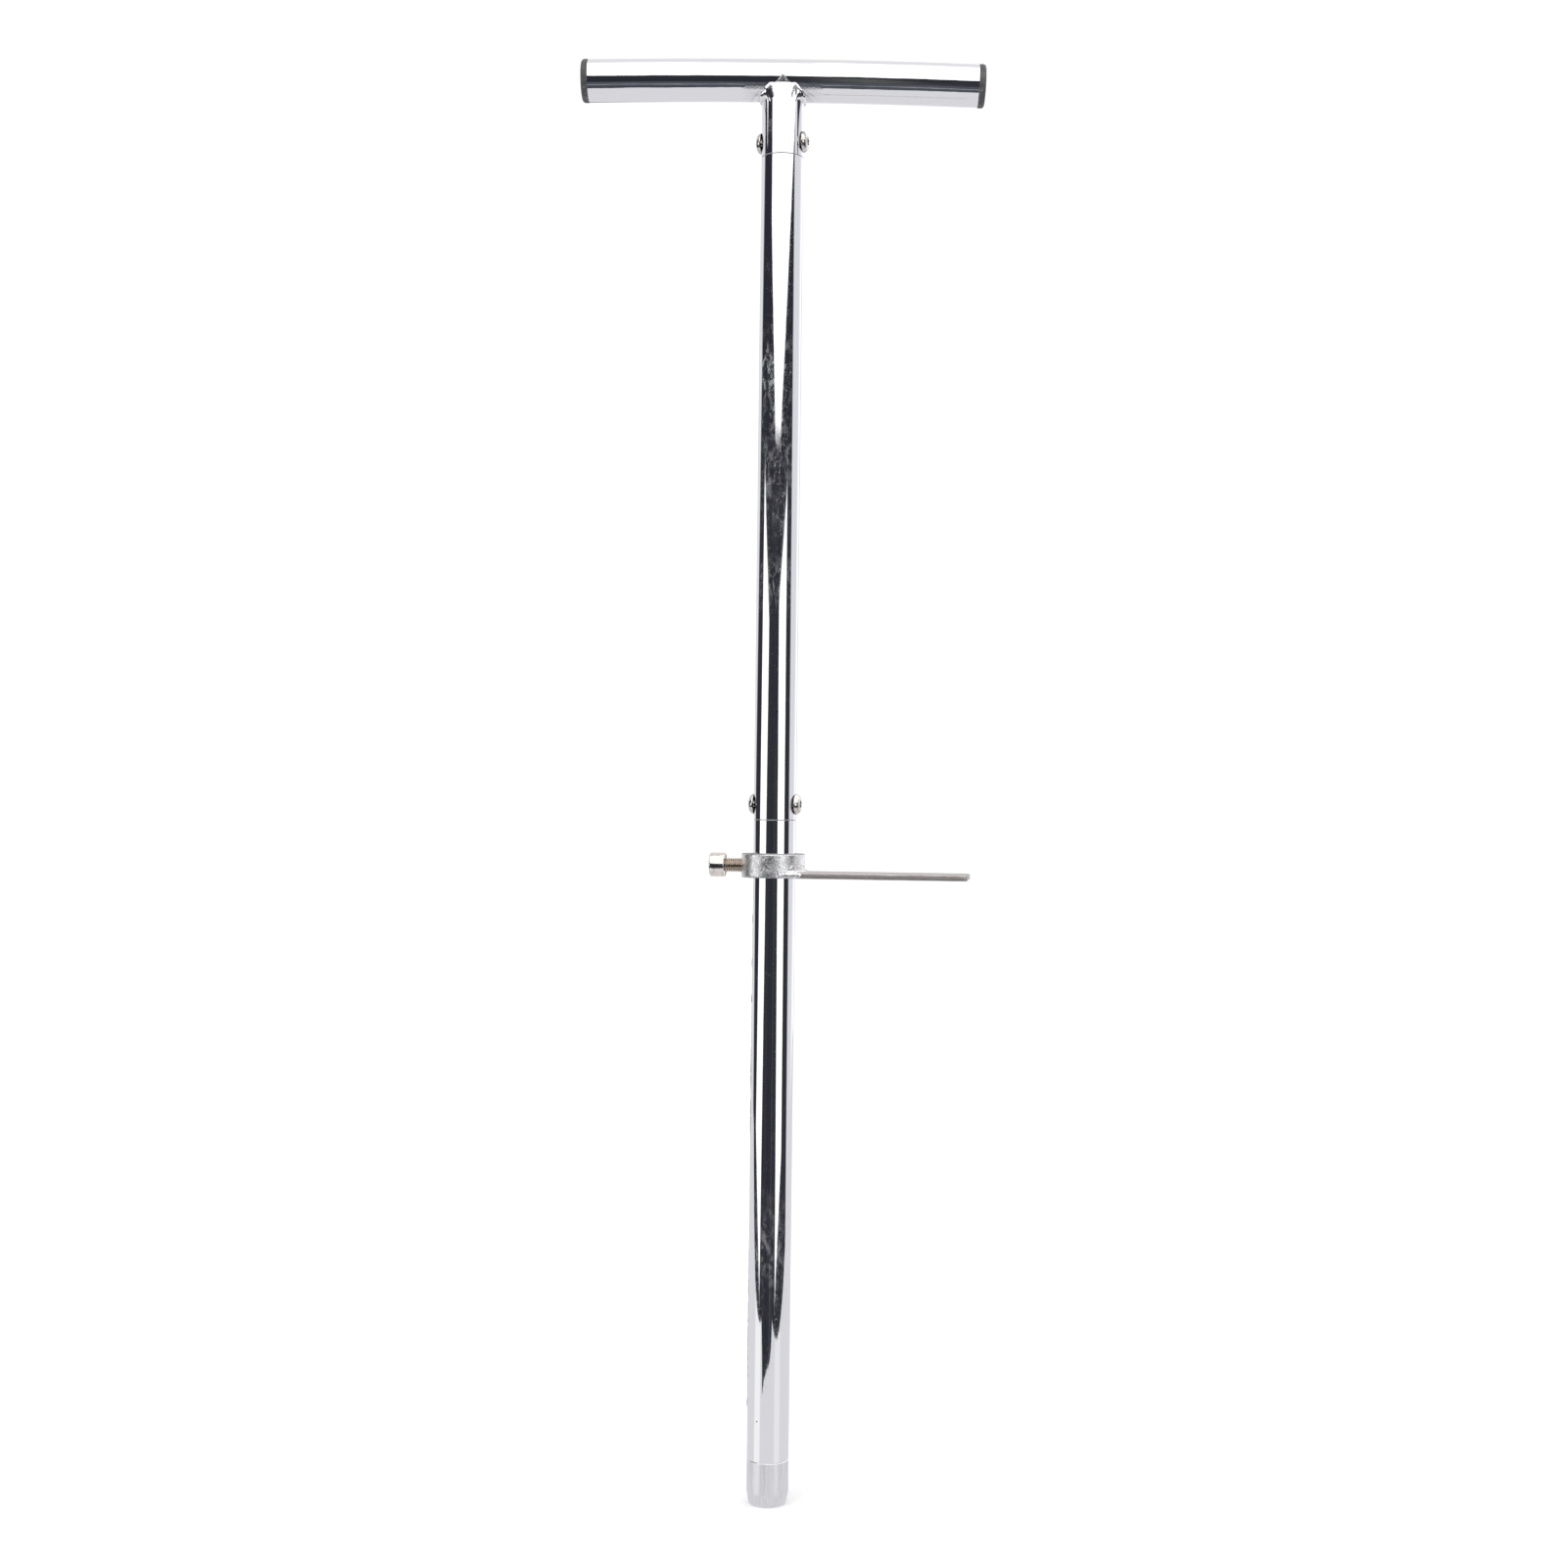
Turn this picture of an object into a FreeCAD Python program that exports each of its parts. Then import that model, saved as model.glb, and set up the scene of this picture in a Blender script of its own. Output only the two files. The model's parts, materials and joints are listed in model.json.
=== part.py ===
import FreeCAD, Part
import math
import os
from FreeCAD import Vector

# T-handled tubular soil sampler, in millimetres.
# The origin is on the tube's axis at the cutting mouth, +Z runs up the tube to the handle,
# +X is the side of the foot step, and the sampling window is cut in the back (+Y, -X) of the tube.

# ---- driving dimensions ----
TUBE_R = 14.0               # outside radius of the handle bar and of both tubes
TUBE_WALL = 1.5
SEAM_CHAMFER = 0.35         # broken edges where two tubes meet

BAR_Z = 950.0               # axis of the handle bar at its middle
BAR_LENGTH = 260.8          # without its caps
BAR_SAG = 1.8               # how far the weld has pulled each end down
BAR_TILT = 0.5              # and how far it has turned the +X end down, in degrees
CAP_THICK = 5.0
CAP_R = 14.2

UPPER_SEAM_Z = 898.0        # handle stub above, upper tube below
LOWER_SEAM_Z = 455.5        # upper tube above, lower tube below
TIP_SEAM_Z = 29.5           # lower tube above, cutting ring below
SCREW_ABOVE_SEAM = 10.4     # height of each pair of joint screws over its seam
SCREW_AZIMUTH = -11.0       # the joint screws stand this far round from the handle, in degrees

SLEEVE_GAP = 0.05           # radial gap between a sleeve and the tube round it
SLEEVE_WALL = 2.0
SLEEVE_RISE = 27.0          # part of a sleeve above its seam
SLEEVE_DEPTH = 32.0         # part of a sleeve below its seam

JOINT_SCREW_R = 3.95        # M8 shank
JOINT_SCREW_HOLE_R = 4.2
JOINT_SCREW_LENGTH = 12.0
BUTTON_HEAD_R = 7.0
BUTTON_HEAD_H = 3.5
NUT_FLATS = 13.0
NUT_THICK = 4.0
NUT_BORE_R = 4.0

WINDOW_LOW_Z = 58.0
WINDOW_HIGH_Z = 396.0
WINDOW_WIDTH = 20.0
WINDOW_AZIMUTH = 134.0

MOUTH_R = 11.3              # bore at the cutting edge
MOUTH_LAND = 8.0            # length of that bore
TIP_BORE_R = 11.7           # relieved bore above it
TIP_END_R = 12.3            # outside radius at the cutting edge
TIP_BEVEL = 8.5
TIP_SPIGOT = 12.0           # part of the ring pressed into the tube

STEP_SWIVEL = -6.3          # the foot step stands this far round from the handle, in degrees
COLLAR_R = 21.25
COLLAR_BORE_R = 15.0
COLLAR_LOW_Z = 417.0
COLLAR_HEIGHT = 16.0
COLLAR_SHIFT = 0.7          # the screw pulls the collar this far to its own side
PLATE_REACH = 129.7         # tube axis to the plate's outer end
PLATE_WIDTH = 40.0
PLATE_THICK = 4.0
PLATE_CORNER_R = 2.5
PLATE_BEVEL = 1.6           # weld preparation on the top of the coped end

CLAMP_SCREW_R = 4.95        # M10 shank
CLAMP_HOLE_R = 5.0
CLAMP_HEAD_R = 8.0
CLAMP_HEAD_H = 10.0
CLAMP_SOCKET_FLATS = 8.0
CLAMP_SCREW_LENGTH = 19.0
CLAMP_TIP_GAP = 0.3         # screw end to tube

# ---- sizes that follow ----
TUBE_BORE_R = TUBE_R - TUBE_WALL
SLEEVE_R = TUBE_BORE_R - SLEEVE_GAP
SLEEVE_BORE_R = SLEEVE_R - SLEEVE_WALL
BOW_RADIUS = (BAR_LENGTH / 2) ** 2 / (2 * BAR_SAG)
BOW_HALF_ANGLE = math.degrees(BAR_LENGTH / 2 / BOW_RADIUS)
BOW_CENTRE = Vector(0, 0, BAR_Z - BOW_RADIUS)
COLLAR_MID_Z = COLLAR_LOW_Z + COLLAR_HEIGHT / 2
COLLAR_HIGH_Z = COLLAR_LOW_Z + COLLAR_HEIGHT
PLATE_TOP_Z = COLLAR_LOW_Z + PLATE_THICK

X_AXIS = Vector(1, 0, 0)
Y_AXIS = Vector(0, 1, 0)
Z_AXIS = Vector(0, 0, 1)


# ---- small helpers ----
def outward(azimuth):
    """Unit vector that points away from the tube's axis at this azimuth."""
    angle = math.radians(azimuth)
    return Vector(math.cos(angle), math.sin(angle), 0)


def rod(radius, start, direction, length):
    return Part.makeCylinder(radius, length, start, direction)


def ring(outer_r, inner_r, low_z, high_z, centre=Vector(0, 0, 0)):
    """Upright tube between two heights."""
    start = Vector(centre.x, centre.y, low_z)
    height = high_z - low_z
    return rod(outer_r, start, Z_AXIS, height).cut(rod(inner_r, start, Z_AXIS, height))


def turned(profile):
    """Turn a closed outline of (x, radius) points and arcs about the X axis.

    An item of the outline is a corner (x, r), or a pair ((x, r), (x, r)) of a point that an
    arc passes through and the corner where the arc ends.
    """
    edges = []
    here = Vector(profile[0][0], profile[0][1], 0)
    first = here
    for item in profile[1:]:
        if isinstance(item[0], tuple):
            through = Vector(item[0][0], item[0][1], 0)
            there = Vector(item[1][0], item[1][1], 0)
            edges.append(Part.Arc(here, through, there).toShape())
        else:
            there = Vector(item[0], item[1], 0)
            edges.append(Part.LineSegment(here, there).toShape())
        here = there
    edges.append(Part.LineSegment(here, first).toShape())
    return Part.Face(Part.Wire(edges)).revolve(Vector(0, 0, 0), X_AXIS, 360)


def hexagon(flats, start_x, length):
    """Six-sided prism along X, with two of its corners along Y."""
    corner = flats / math.sqrt(3)
    points = []
    for step in range(7):
        angle = math.radians(60 * step)
        points.append(Vector(start_x, corner * math.cos(angle), corner * math.sin(angle)))
    return Part.Face(Part.makePolygon(points)).extrude(Vector(length, 0, 0))


def seat(shape, azimuth, radius, height):
    """Copy of a piece made along +X, turned to this azimuth and moved out to this radius."""
    placed = shape.copy()
    placed.rotate(Vector(0, 0, 0), Z_AXIS, azimuth)
    placed.translate(outward(azimuth) * radius + Vector(0, 0, height))
    return placed


def chamfer_rims(shape, heights, radius, size):
    """Break the round edges of this radius that lie at these heights."""
    rims = []
    for edge in shape.Edges:
        curve = edge.Curve
        if not isinstance(curve, Part.Circle) or abs(curve.Radius - radius) > 0.01:
            continue
        if any(abs(curve.Center.z - height) < 0.01 for height in heights):
            rims.append(edge)
    return shape.makeChamfer(size, rims)


# ---- handle ----
def tilted(shape):
    """Turn a shape made on the level handle down at its +X end."""
    shape.rotate(Vector(0, 0, BAR_Z), Y_AXIS, BAR_TILT)
    return shape


def bar_at_stub(radius, reach):
    """Straight rod on the bar's axis where it crosses the stub."""
    return tilted(rod(radius, Vector(-reach, 0, BAR_Z), X_AXIS, 2 * reach))


def bowed_rod(radius):
    """Round bar whose axis follows the shallow arc of the handle."""
    disc = Part.Face(Part.Wire(Part.makeCircle(radius, Vector(0, 0, BAR_Z), X_AXIS)))
    disc.rotate(BOW_CENTRE, Y_AXIS, -BOW_HALF_ANGLE)
    return tilted(disc.revolve(BOW_CENTRE, Y_AXIS, 2 * BOW_HALF_ANGLE))


def handle_bar():
    return bowed_rod(TUBE_R).cut(bowed_rod(TUBE_BORE_R))


def handle_cap(side):
    """Domed cap with a hollow ribbed plug, on the +X end (side 1) or the -X end (side -1)."""
    plug_depth = 14.0
    plug_bore_r = 10.0
    plug_floor = -1.5
    rib_r = TUBE_BORE_R - 0.05
    groove_r = TUBE_BORE_R - 0.5
    rib_pitch = 4.0
    rib_width = 1.2
    rim_round = 2.2
    corner = rim_round * math.sqrt(0.5)
    crown = 0.5
    face_x = CAP_THICK - crown
    face_r = CAP_R - rim_round
    crown_radius = (face_r ** 2 + crown ** 2) / (2 * crown)
    halfway = math.asin(face_r / crown_radius) / 2
    crown_middle = (CAP_THICK - crown_radius * (1 - math.cos(halfway)),
                    crown_radius * math.sin(halfway))

    outline = [(-plug_depth, plug_bore_r), (-plug_depth, groove_r)]
    for count in range(3):
        rib_x = -plug_depth + 1.5 + count * rib_pitch
        outline += [(rib_x, groove_r), (rib_x + 0.3, rib_r)]
        outline += [(rib_x + rib_width, rib_r), (rib_x + rib_width, groove_r)]
    outline += [(0, groove_r), (0, CAP_R), (face_x - rim_round, CAP_R)]
    outline.append(((face_x - rim_round + corner, face_r + corner), (face_x, face_r)))
    outline.append((crown_middle, (CAP_THICK, 0)))
    outline += [(plug_floor, 0), (plug_floor, plug_bore_r)]

    cap = turned(outline)
    if side < 0:
        cap.rotate(Vector(0, 0, 0), Z_AXIS, 180)
    cap.translate(Vector(0, 0, BAR_Z))
    cap.rotate(BOW_CENTRE, Y_AXIS, side * BOW_HALF_ANGLE)
    return tilted(cap)


def screw_holes(height, radius):
    """Cutter for the pair of holes that the joint screws pass through."""
    way = outward(SCREW_AZIMUTH)
    start = Vector(0, 0, height) - way * (2 * TUBE_R)
    return rod(radius, start, way, 4 * TUBE_R)


def handle_stub():
    """Short tube whose top is coped to fit the underside of the bar."""
    cope_gap = 0.1
    stub = ring(TUBE_R, TUBE_BORE_R, UPPER_SEAM_Z, BAR_Z)
    stub = chamfer_rims(stub, [UPPER_SEAM_Z], TUBE_R, SEAM_CHAMFER)
    stub = stub.cut(bar_at_stub(TUBE_R + cope_gap, 50))
    return stub.cut(screw_holes(UPPER_SEAM_Z + SCREW_ABOVE_SEAM, JOINT_SCREW_HOLE_R))


def handle_weld():
    """Bead in the corner between bar and stub, all the way round the saddle."""
    bead = 1.8
    clear = 0.05
    fused_in = 0.1
    over_bar = bar_at_stub(TUBE_R + bead + 0.6, 30)
    over_stub = rod(TUBE_R + bead, Vector(0, 0, BAR_Z - 20), Z_AXIS, 20 + bead)
    under_bar = bar_at_stub(TUBE_R + clear, 40)
    under_stub = rod(TUBE_R - fused_in, Vector(0, 0, BAR_Z - 30), Z_AXIS, 40)
    return over_bar.common(over_stub).cut(under_bar).cut(under_stub)


# ---- screwed joints between the sections ----
def sleeve(seam_z):
    """Inner tube that bridges a seam."""
    shape = ring(SLEEVE_R, SLEEVE_BORE_R, seam_z - SLEEVE_DEPTH, seam_z + SLEEVE_RISE)
    shape = chamfer_rims(shape, [seam_z + SLEEVE_RISE], SLEEVE_R, 0.8)
    return shape.cut(screw_holes(seam_z + SCREW_ABOVE_SEAM, JOINT_SCREW_HOLE_R))


def button_screw():
    """M8 button-head screw along X, its head standing on x = 0."""
    socket_flats = 5.0
    socket_depth = 2.2
    rim = 0.5
    crown_r = 3.7
    screw = turned([
        (-JOINT_SCREW_LENGTH, 0), (-JOINT_SCREW_LENGTH, JOINT_SCREW_R - 0.6),
        (-JOINT_SCREW_LENGTH + 0.6, JOINT_SCREW_R), (0, JOINT_SCREW_R),
        (0, BUTTON_HEAD_R), (rim, BUTTON_HEAD_R),
        ((2.4, 5.85), (BUTTON_HEAD_H, crown_r)), (BUTTON_HEAD_H, 0)])
    return screw.cut(hexagon(socket_flats, BUTTON_HEAD_H - socket_depth, socket_depth + 1))


def weld_nut():
    """Thin M8 nut along X, its outer face at x = 0."""
    return hexagon(NUT_FLATS, -NUT_THICK, NUT_THICK).cut(
        rod(NUT_BORE_R, Vector(-NUT_THICK - 1, 0, 0), X_AXIS, NUT_THICK + 2))


def section_joint(name, seam_z, nodes):
    """The two screws of a joint and the nuts welded inside its sleeve."""
    height = seam_z + SCREW_ABOVE_SEAM
    nut_corner = NUT_FLATS / math.sqrt(3)
    nut_face_r = math.sqrt(SLEEVE_BORE_R ** 2 - nut_corner ** 2) - 0.05
    for side, azimuth in (("right", SCREW_AZIMUTH), ("left", SCREW_AZIMUTH + 180)):
        nodes[name + "_screw_" + side] = seat(button_screw(), azimuth, TUBE_R, height)
        nodes[name + "_nut_" + side] = seat(weld_nut(), azimuth, nut_face_r, height)


# ---- tubes and cutting ring ----
def upper_tube():
    shape = ring(TUBE_R, TUBE_BORE_R, LOWER_SEAM_Z, UPPER_SEAM_Z)
    shape = chamfer_rims(shape, [LOWER_SEAM_Z, UPPER_SEAM_Z], TUBE_R, SEAM_CHAMFER)
    return shape.cut(screw_holes(LOWER_SEAM_Z + SCREW_ABOVE_SEAM, JOINT_SCREW_HOLE_R))


def window_cutter():
    """Long slot with round ends, cut straight in from the window's side."""
    half = WINDOW_WIDTH / 2
    depth = 2 * TUBE_R
    low = Vector(0, 0, WINDOW_LOW_Z + half)
    high = Vector(0, 0, WINDOW_HIGH_Z - half)
    cutter = Part.makeBox(depth, WINDOW_WIDTH, high.z - low.z, Vector(0, -half, low.z))
    for end in (low, high):
        cutter = cutter.fuse(rod(half, end, X_AXIS, depth))
    cutter.rotate(Vector(0, 0, 0), Z_AXIS, WINDOW_AZIMUTH)
    return cutter


def lower_tube():
    shape = ring(TUBE_R, TUBE_BORE_R, TIP_SEAM_Z, LOWER_SEAM_Z)
    shape = chamfer_rims(shape, [LOWER_SEAM_Z, TIP_SEAM_Z], TUBE_R, SEAM_CHAMFER)
    return shape.cut(window_cutter())


def cutting_tip():
    """Turned ring: bevelled outside, a narrow land at the mouth, relieved above it."""
    spigot_r = TUBE_BORE_R - SLEEVE_GAP
    relief = 2.0
    ring_shape = turned([
        (0, MOUTH_R), (0, TIP_END_R), (TIP_BEVEL, TUBE_R),
        (TIP_SEAM_Z - SEAM_CHAMFER, TUBE_R), (TIP_SEAM_Z, TUBE_R - SEAM_CHAMFER),
        (TIP_SEAM_Z, spigot_r), (TIP_SEAM_Z + TIP_SPIGOT, spigot_r),
        (TIP_SEAM_Z + TIP_SPIGOT, TIP_BORE_R), (MOUTH_LAND + relief, TIP_BORE_R),
        (MOUTH_LAND, MOUTH_R)])
    ring_shape.rotate(Vector(0, 0, 0), Y_AXIS, -90)
    return ring_shape


# ---- foot step: made along X about the tube's axis, then swivelled ----
COLLAR_CENTRE = Vector(-COLLAR_SHIFT, 0, 0)


def clamp_collar():
    """Loose ring with one tapped hole on its -X side."""
    shape = ring(COLLAR_R, COLLAR_BORE_R, COLLAR_LOW_Z, COLLAR_HIGH_Z, COLLAR_CENTRE)
    shape = chamfer_rims(shape, [COLLAR_LOW_Z, COLLAR_HIGH_Z], COLLAR_R, 0.5)
    shape = chamfer_rims(shape, [COLLAR_LOW_Z, COLLAR_HIGH_Z], COLLAR_BORE_R, 0.5)
    return shape.cut(rod(CLAMP_HOLE_R, Vector(0, 0, COLLAR_MID_Z), -X_AXIS, 2 * COLLAR_R))


def foot_plate():
    """Flat bar with one end coped and bevelled for the weld, and its outer corners rounded."""
    plate = Part.makeBox(PLATE_REACH, PLATE_WIDTH, PLATE_THICK,
                         Vector(0, -PLATE_WIDTH / 2, COLLAR_LOW_Z))
    corners = []
    for edge in plate.Edges:
        middle = edge.CenterOfMass
        upright = abs(middle.z - COLLAR_LOW_Z - PLATE_THICK / 2) < 0.01
        if upright and abs(middle.x - PLATE_REACH) < 0.01:
            corners.append(edge)
    plate = plate.makeFillet(PLATE_CORNER_R, corners)
    start = COLLAR_CENTRE + Vector(0, 0, COLLAR_LOW_Z - 1)
    plate = plate.cut(rod(COLLAR_R, start, Z_AXIS, PLATE_THICK + 2))
    bevel_low = COLLAR_CENTRE + Vector(0, 0, PLATE_TOP_Z - PLATE_BEVEL)
    bevel = Part.makeCone(COLLAR_R, COLLAR_R + 2 * PLATE_BEVEL, 2 * PLATE_BEVEL, bevel_low, Z_AXIS)
    return plate.cut(bevel)


def foot_plate_weld():
    """A fillet in the bevel on top of the cope, and a run along each edge where the cope ends."""
    leg = 1.6
    sweep = 130.0
    run_r = 2.0
    run_start = 7.6
    run_length = 11.2
    middle_z = COLLAR_LOW_Z + PLATE_THICK / 2
    centre = COLLAR_CENTRE + Vector(0, 0, PLATE_TOP_Z)
    corner = centre + Vector(COLLAR_R, 0, 0)
    low = corner - Vector(0, 0, PLATE_BEVEL)
    fillet = Part.Face(Part.makePolygon([low, corner + Vector(PLATE_BEVEL, 0, 0),
                                         corner + Vector(0, 0, leg), low]))
    fillet.rotate(centre, Z_AXIS, -sweep / 2)
    bead = fillet.revolve(centre, Z_AXIS, sweep)
    for side in (-1, 1):
        start = Vector(run_start, side * PLATE_WIDTH / 2, middle_z)
        run = rod(run_r, start, X_AXIS, run_length)
        for end in (start, start + X_AXIS * run_length):
            run = run.fuse(Part.makeSphere(run_r, end))
        bead = bead.fuse(run)
    inside_collar = rod(COLLAR_R, COLLAR_CENTRE + Vector(0, 0, COLLAR_LOW_Z - 10), Z_AXIS, 40)
    return bead.cut(foot_plate()).cut(inside_collar)


def clamp_screw():
    """M10 socket-head cap screw along -X, its flat end just clear of the tube."""
    edge = 0.6
    socket_depth = 5.0
    screw = turned([
        (0, 0), (0, CLAMP_SCREW_R - 0.8), (0.8, CLAMP_SCREW_R),
        (CLAMP_SCREW_LENGTH, CLAMP_SCREW_R), (CLAMP_SCREW_LENGTH, CLAMP_HEAD_R - 0.3),
        (CLAMP_SCREW_LENGTH + 0.3, CLAMP_HEAD_R),
        (CLAMP_SCREW_LENGTH + CLAMP_HEAD_H - edge, CLAMP_HEAD_R),
        (CLAMP_SCREW_LENGTH + CLAMP_HEAD_H, CLAMP_HEAD_R - edge),
        (CLAMP_SCREW_LENGTH + CLAMP_HEAD_H, 0)])
    socket_x = CLAMP_SCREW_LENGTH + CLAMP_HEAD_H - socket_depth
    screw = screw.cut(hexagon(CLAMP_SOCKET_FLATS, socket_x, socket_depth + 1))
    return seat(screw, 180, TUBE_R + CLAMP_TIP_GAP, COLLAR_MID_Z)


def swivelled(shape):
    shape.rotate(Vector(0, 0, 0), Z_AXIS, STEP_SWIVEL)
    return shape


def build():
    nodes = {
        "handle_bar": handle_bar(),
        "handle_cap_left": handle_cap(-1),
        "handle_cap_right": handle_cap(1),
        "handle_stub": handle_stub(),
        "handle_weld": handle_weld(),
        "upper_sleeve": sleeve(UPPER_SEAM_Z),
        "upper_tube": upper_tube(),
        "lower_sleeve": sleeve(LOWER_SEAM_Z),
        "lower_tube": lower_tube(),
        "cutting_tip": cutting_tip(),
        "clamp_collar": swivelled(clamp_collar()),
        "foot_plate": swivelled(foot_plate()),
        "foot_plate_weld": swivelled(foot_plate_weld()),
        "clamp_screw": swivelled(clamp_screw()),
    }
    section_joint("handle", UPPER_SEAM_Z, nodes)
    section_joint("mid", LOWER_SEAM_Z, nodes)
    return nodes


os.makedirs("parts", exist_ok=True)
for node_name, node_shape in build().items():
    if not node_shape.isValid() or not node_shape.Solids:
        raise ValueError(node_name + " is not a valid solid")
    print(node_name, len(node_shape.Solids), "solid(s),", round(node_shape.Volume), "mm3")
    node_shape.exportStep("parts/" + node_name + ".step")
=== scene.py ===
import json
import math

import bmesh
import bpy
from mathutils import Matrix, Vector
from mathutils import noise as perlin


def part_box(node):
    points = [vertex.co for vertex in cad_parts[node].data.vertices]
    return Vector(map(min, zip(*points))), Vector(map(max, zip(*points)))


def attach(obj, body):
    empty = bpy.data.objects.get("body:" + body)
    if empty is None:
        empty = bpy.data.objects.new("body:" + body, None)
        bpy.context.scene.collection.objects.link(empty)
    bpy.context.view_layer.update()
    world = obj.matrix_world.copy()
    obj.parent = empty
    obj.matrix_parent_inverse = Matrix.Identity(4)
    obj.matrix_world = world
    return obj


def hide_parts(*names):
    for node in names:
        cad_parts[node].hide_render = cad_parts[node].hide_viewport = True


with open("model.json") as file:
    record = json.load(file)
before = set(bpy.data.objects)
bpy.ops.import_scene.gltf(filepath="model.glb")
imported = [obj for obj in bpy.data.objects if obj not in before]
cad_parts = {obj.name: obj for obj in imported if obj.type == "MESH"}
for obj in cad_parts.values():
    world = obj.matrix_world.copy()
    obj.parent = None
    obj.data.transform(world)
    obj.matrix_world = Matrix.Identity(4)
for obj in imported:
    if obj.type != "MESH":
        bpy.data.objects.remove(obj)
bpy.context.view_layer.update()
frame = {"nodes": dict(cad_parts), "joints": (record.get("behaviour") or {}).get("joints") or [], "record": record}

# T-handled soil sampler: looks, studio and camera. Metres, in the CAD's own frame: +Z up the tube,
# +X to the foot step, -Y to the camera. Sizes and places come from the CAD nodes and joints.

scene = bpy.context.scene
nodes = frame["nodes"]
MM = 0.001
TUBE_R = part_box("upper_tube")[1].x
BAR_Z = 950.0 * MM
BAR_TILT = math.radians(0.5)
TUBE_JOINTS = (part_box("handle_stub")[0].z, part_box("upper_tube")[0].z)
COLLAR_LOW, COLLAR_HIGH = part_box("clamp_collar")[0].z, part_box("clamp_collar")[1].z
COLLAR_R = 21.25 * MM
COLLAR_CENTRE_X = -0.7 * MM
PLATE_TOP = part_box("foot_plate")[1].z
PLATE_HALF_WIDTH = 20.0 * MM
SCREW_AXIS = Vector(next(joint["axis"] for joint in frame["joints"]
                         if joint["name"] == "clamp_screw_travel"))
STEP_TURN = Matrix.Rotation(math.atan2(-SCREW_AXIS.y, -SCREW_AXIS.x), 4, "Z")
JOINT_SCREW_AZIMUTH = math.radians(-11.0)
WINDOW_AZIMUTH = math.radians(134.0)
WINDOW_HALF_WIDTH = 10.0 * MM
WINDOW_LOW, WINDOW_HIGH = 58.0 * MM, 396.0 * MM


# ---- shader building ----
def add_node(tree, kind, inputs=(), **settings):
    """New shader node. An input is given by name or number, as a value or as a socket."""
    node = tree.nodes.new(kind)
    for name, value in settings.items():
        setattr(node, name, value)
    for name, value in dict(inputs).items():
        if isinstance(value, bpy.types.NodeSocket):
            tree.links.new(value, node.inputs[name])
        else:
            node.inputs[name].default_value = value
    return node


def calc(tree, operation, *values):
    """Output socket of one Math node."""
    return add_node(tree, "ShaderNodeMath", enumerate(values), operation=operation).outputs[0]


def remap(tree, value, low, high, to_low=0.0, to_high=1.0, smooth=False):
    node = add_node(tree, "ShaderNodeMapRange",
                    {"Value": value, "From Min": low, "From Max": high,
                     "To Min": to_low, "To Max": to_high})
    node.interpolation_type = "SMOOTHSTEP" if smooth else "LINEAR"
    return node.outputs["Result"]


def mix_colour(tree, factor, first, second):
    node = tree.nodes.new("ShaderNodeMix")
    node.data_type = "RGBA"
    for number, value in ((0, factor), (6, first), (7, second)):
        if isinstance(value, bpy.types.NodeSocket):
            tree.links.new(value, node.inputs[number])
        else:
            node.inputs[number].default_value = value
    return node.outputs[2]


def mix_value(tree, factor, first, second):
    return add_node(tree, "ShaderNodeMix", {0: factor, 2: first, 3: second}).outputs[0]


def grey(value):
    return (value, value, value, 1.0)


def noise(tree, where, scale, detail=4.0, roughness=0.55, distortion=0.0):
    node = add_node(tree, "ShaderNodeTexNoise",
                    {"Vector": where, "Scale": scale, "Detail": detail,
                     "Roughness": roughness, "Distortion": distortion})
    return node.outputs["Fac"]


def object_place(tree):
    """Socket of the object's own coordinates, in metres."""
    return add_node(tree, "ShaderNodeTexCoord").outputs["Object"]


def object_axes(tree):
    """Sockets of the object's own x, y and z, in metres."""
    return add_node(tree, "ShaderNodeSeparateXYZ", {0: object_place(tree)}).outputs


def stretched(tree, x=1.0, y=1.0, z=1.0):
    """Object coordinates in metres, scaled along each axis."""
    mapping = add_node(tree, "ShaderNodeMapping", {"Vector": object_place(tree), "Scale": (x, y, z)})
    return mapping.outputs["Vector"]


def bump(tree, height, strength, distance):
    return add_node(tree, "ShaderNodeBump",
                    {"Height": height, "Strength": strength, "Distance": distance}).outputs["Normal"]


def new_material(name):
    material = bpy.data.materials.new(name)
    material.use_nodes = True
    tree = material.node_tree
    shader = tree.nodes["Principled BSDF"]
    return material, tree, shader


def drive(tree, shader, **sockets):
    """Link or set the named inputs of a Principled shader."""
    names = {"colour": "Base Color", "rough": "Roughness", "metal": "Metallic",
             "normal": "Normal", "spec": "Specular IOR Level"}
    for key, value in sockets.items():
        if isinstance(value, bpy.types.NodeSocket):
            tree.links.new(value, shader.inputs[names[key]])
        else:
            shader.inputs[names[key]].default_value = value


def stain_and_shade(material, mask, colour):
    """Lays a colour over a finished material's own where the mask is 1, for real stains and for painted shade."""
    tree = material.node_tree
    shader = tree.nodes["Principled BSDF"]
    own = shader.inputs["Base Color"].links[0].from_socket
    drive(tree, shader, colour=mix_colour(tree, mask, own, colour))


# ---- materials ----
def near_point(tree, point, reach):
    """1 at a point on the object, falling to 0 at the given reach from it."""
    gap = add_node(tree, "ShaderNodeVectorMath", {0: object_place(tree), 1: point},
                   operation="DISTANCE").outputs["Value"]
    return remap(tree, gap, 0.0, reach, 1.0, 0.0, True)


def radius_from_axis(tree):
    """Distance from the tube's axis, in metres."""
    x, y, _ = object_axes(tree)
    return calc(tree, "SQRT", calc(tree, "MULTIPLY_ADD", x, x, calc(tree, "MULTIPLY", y, y)))


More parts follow.
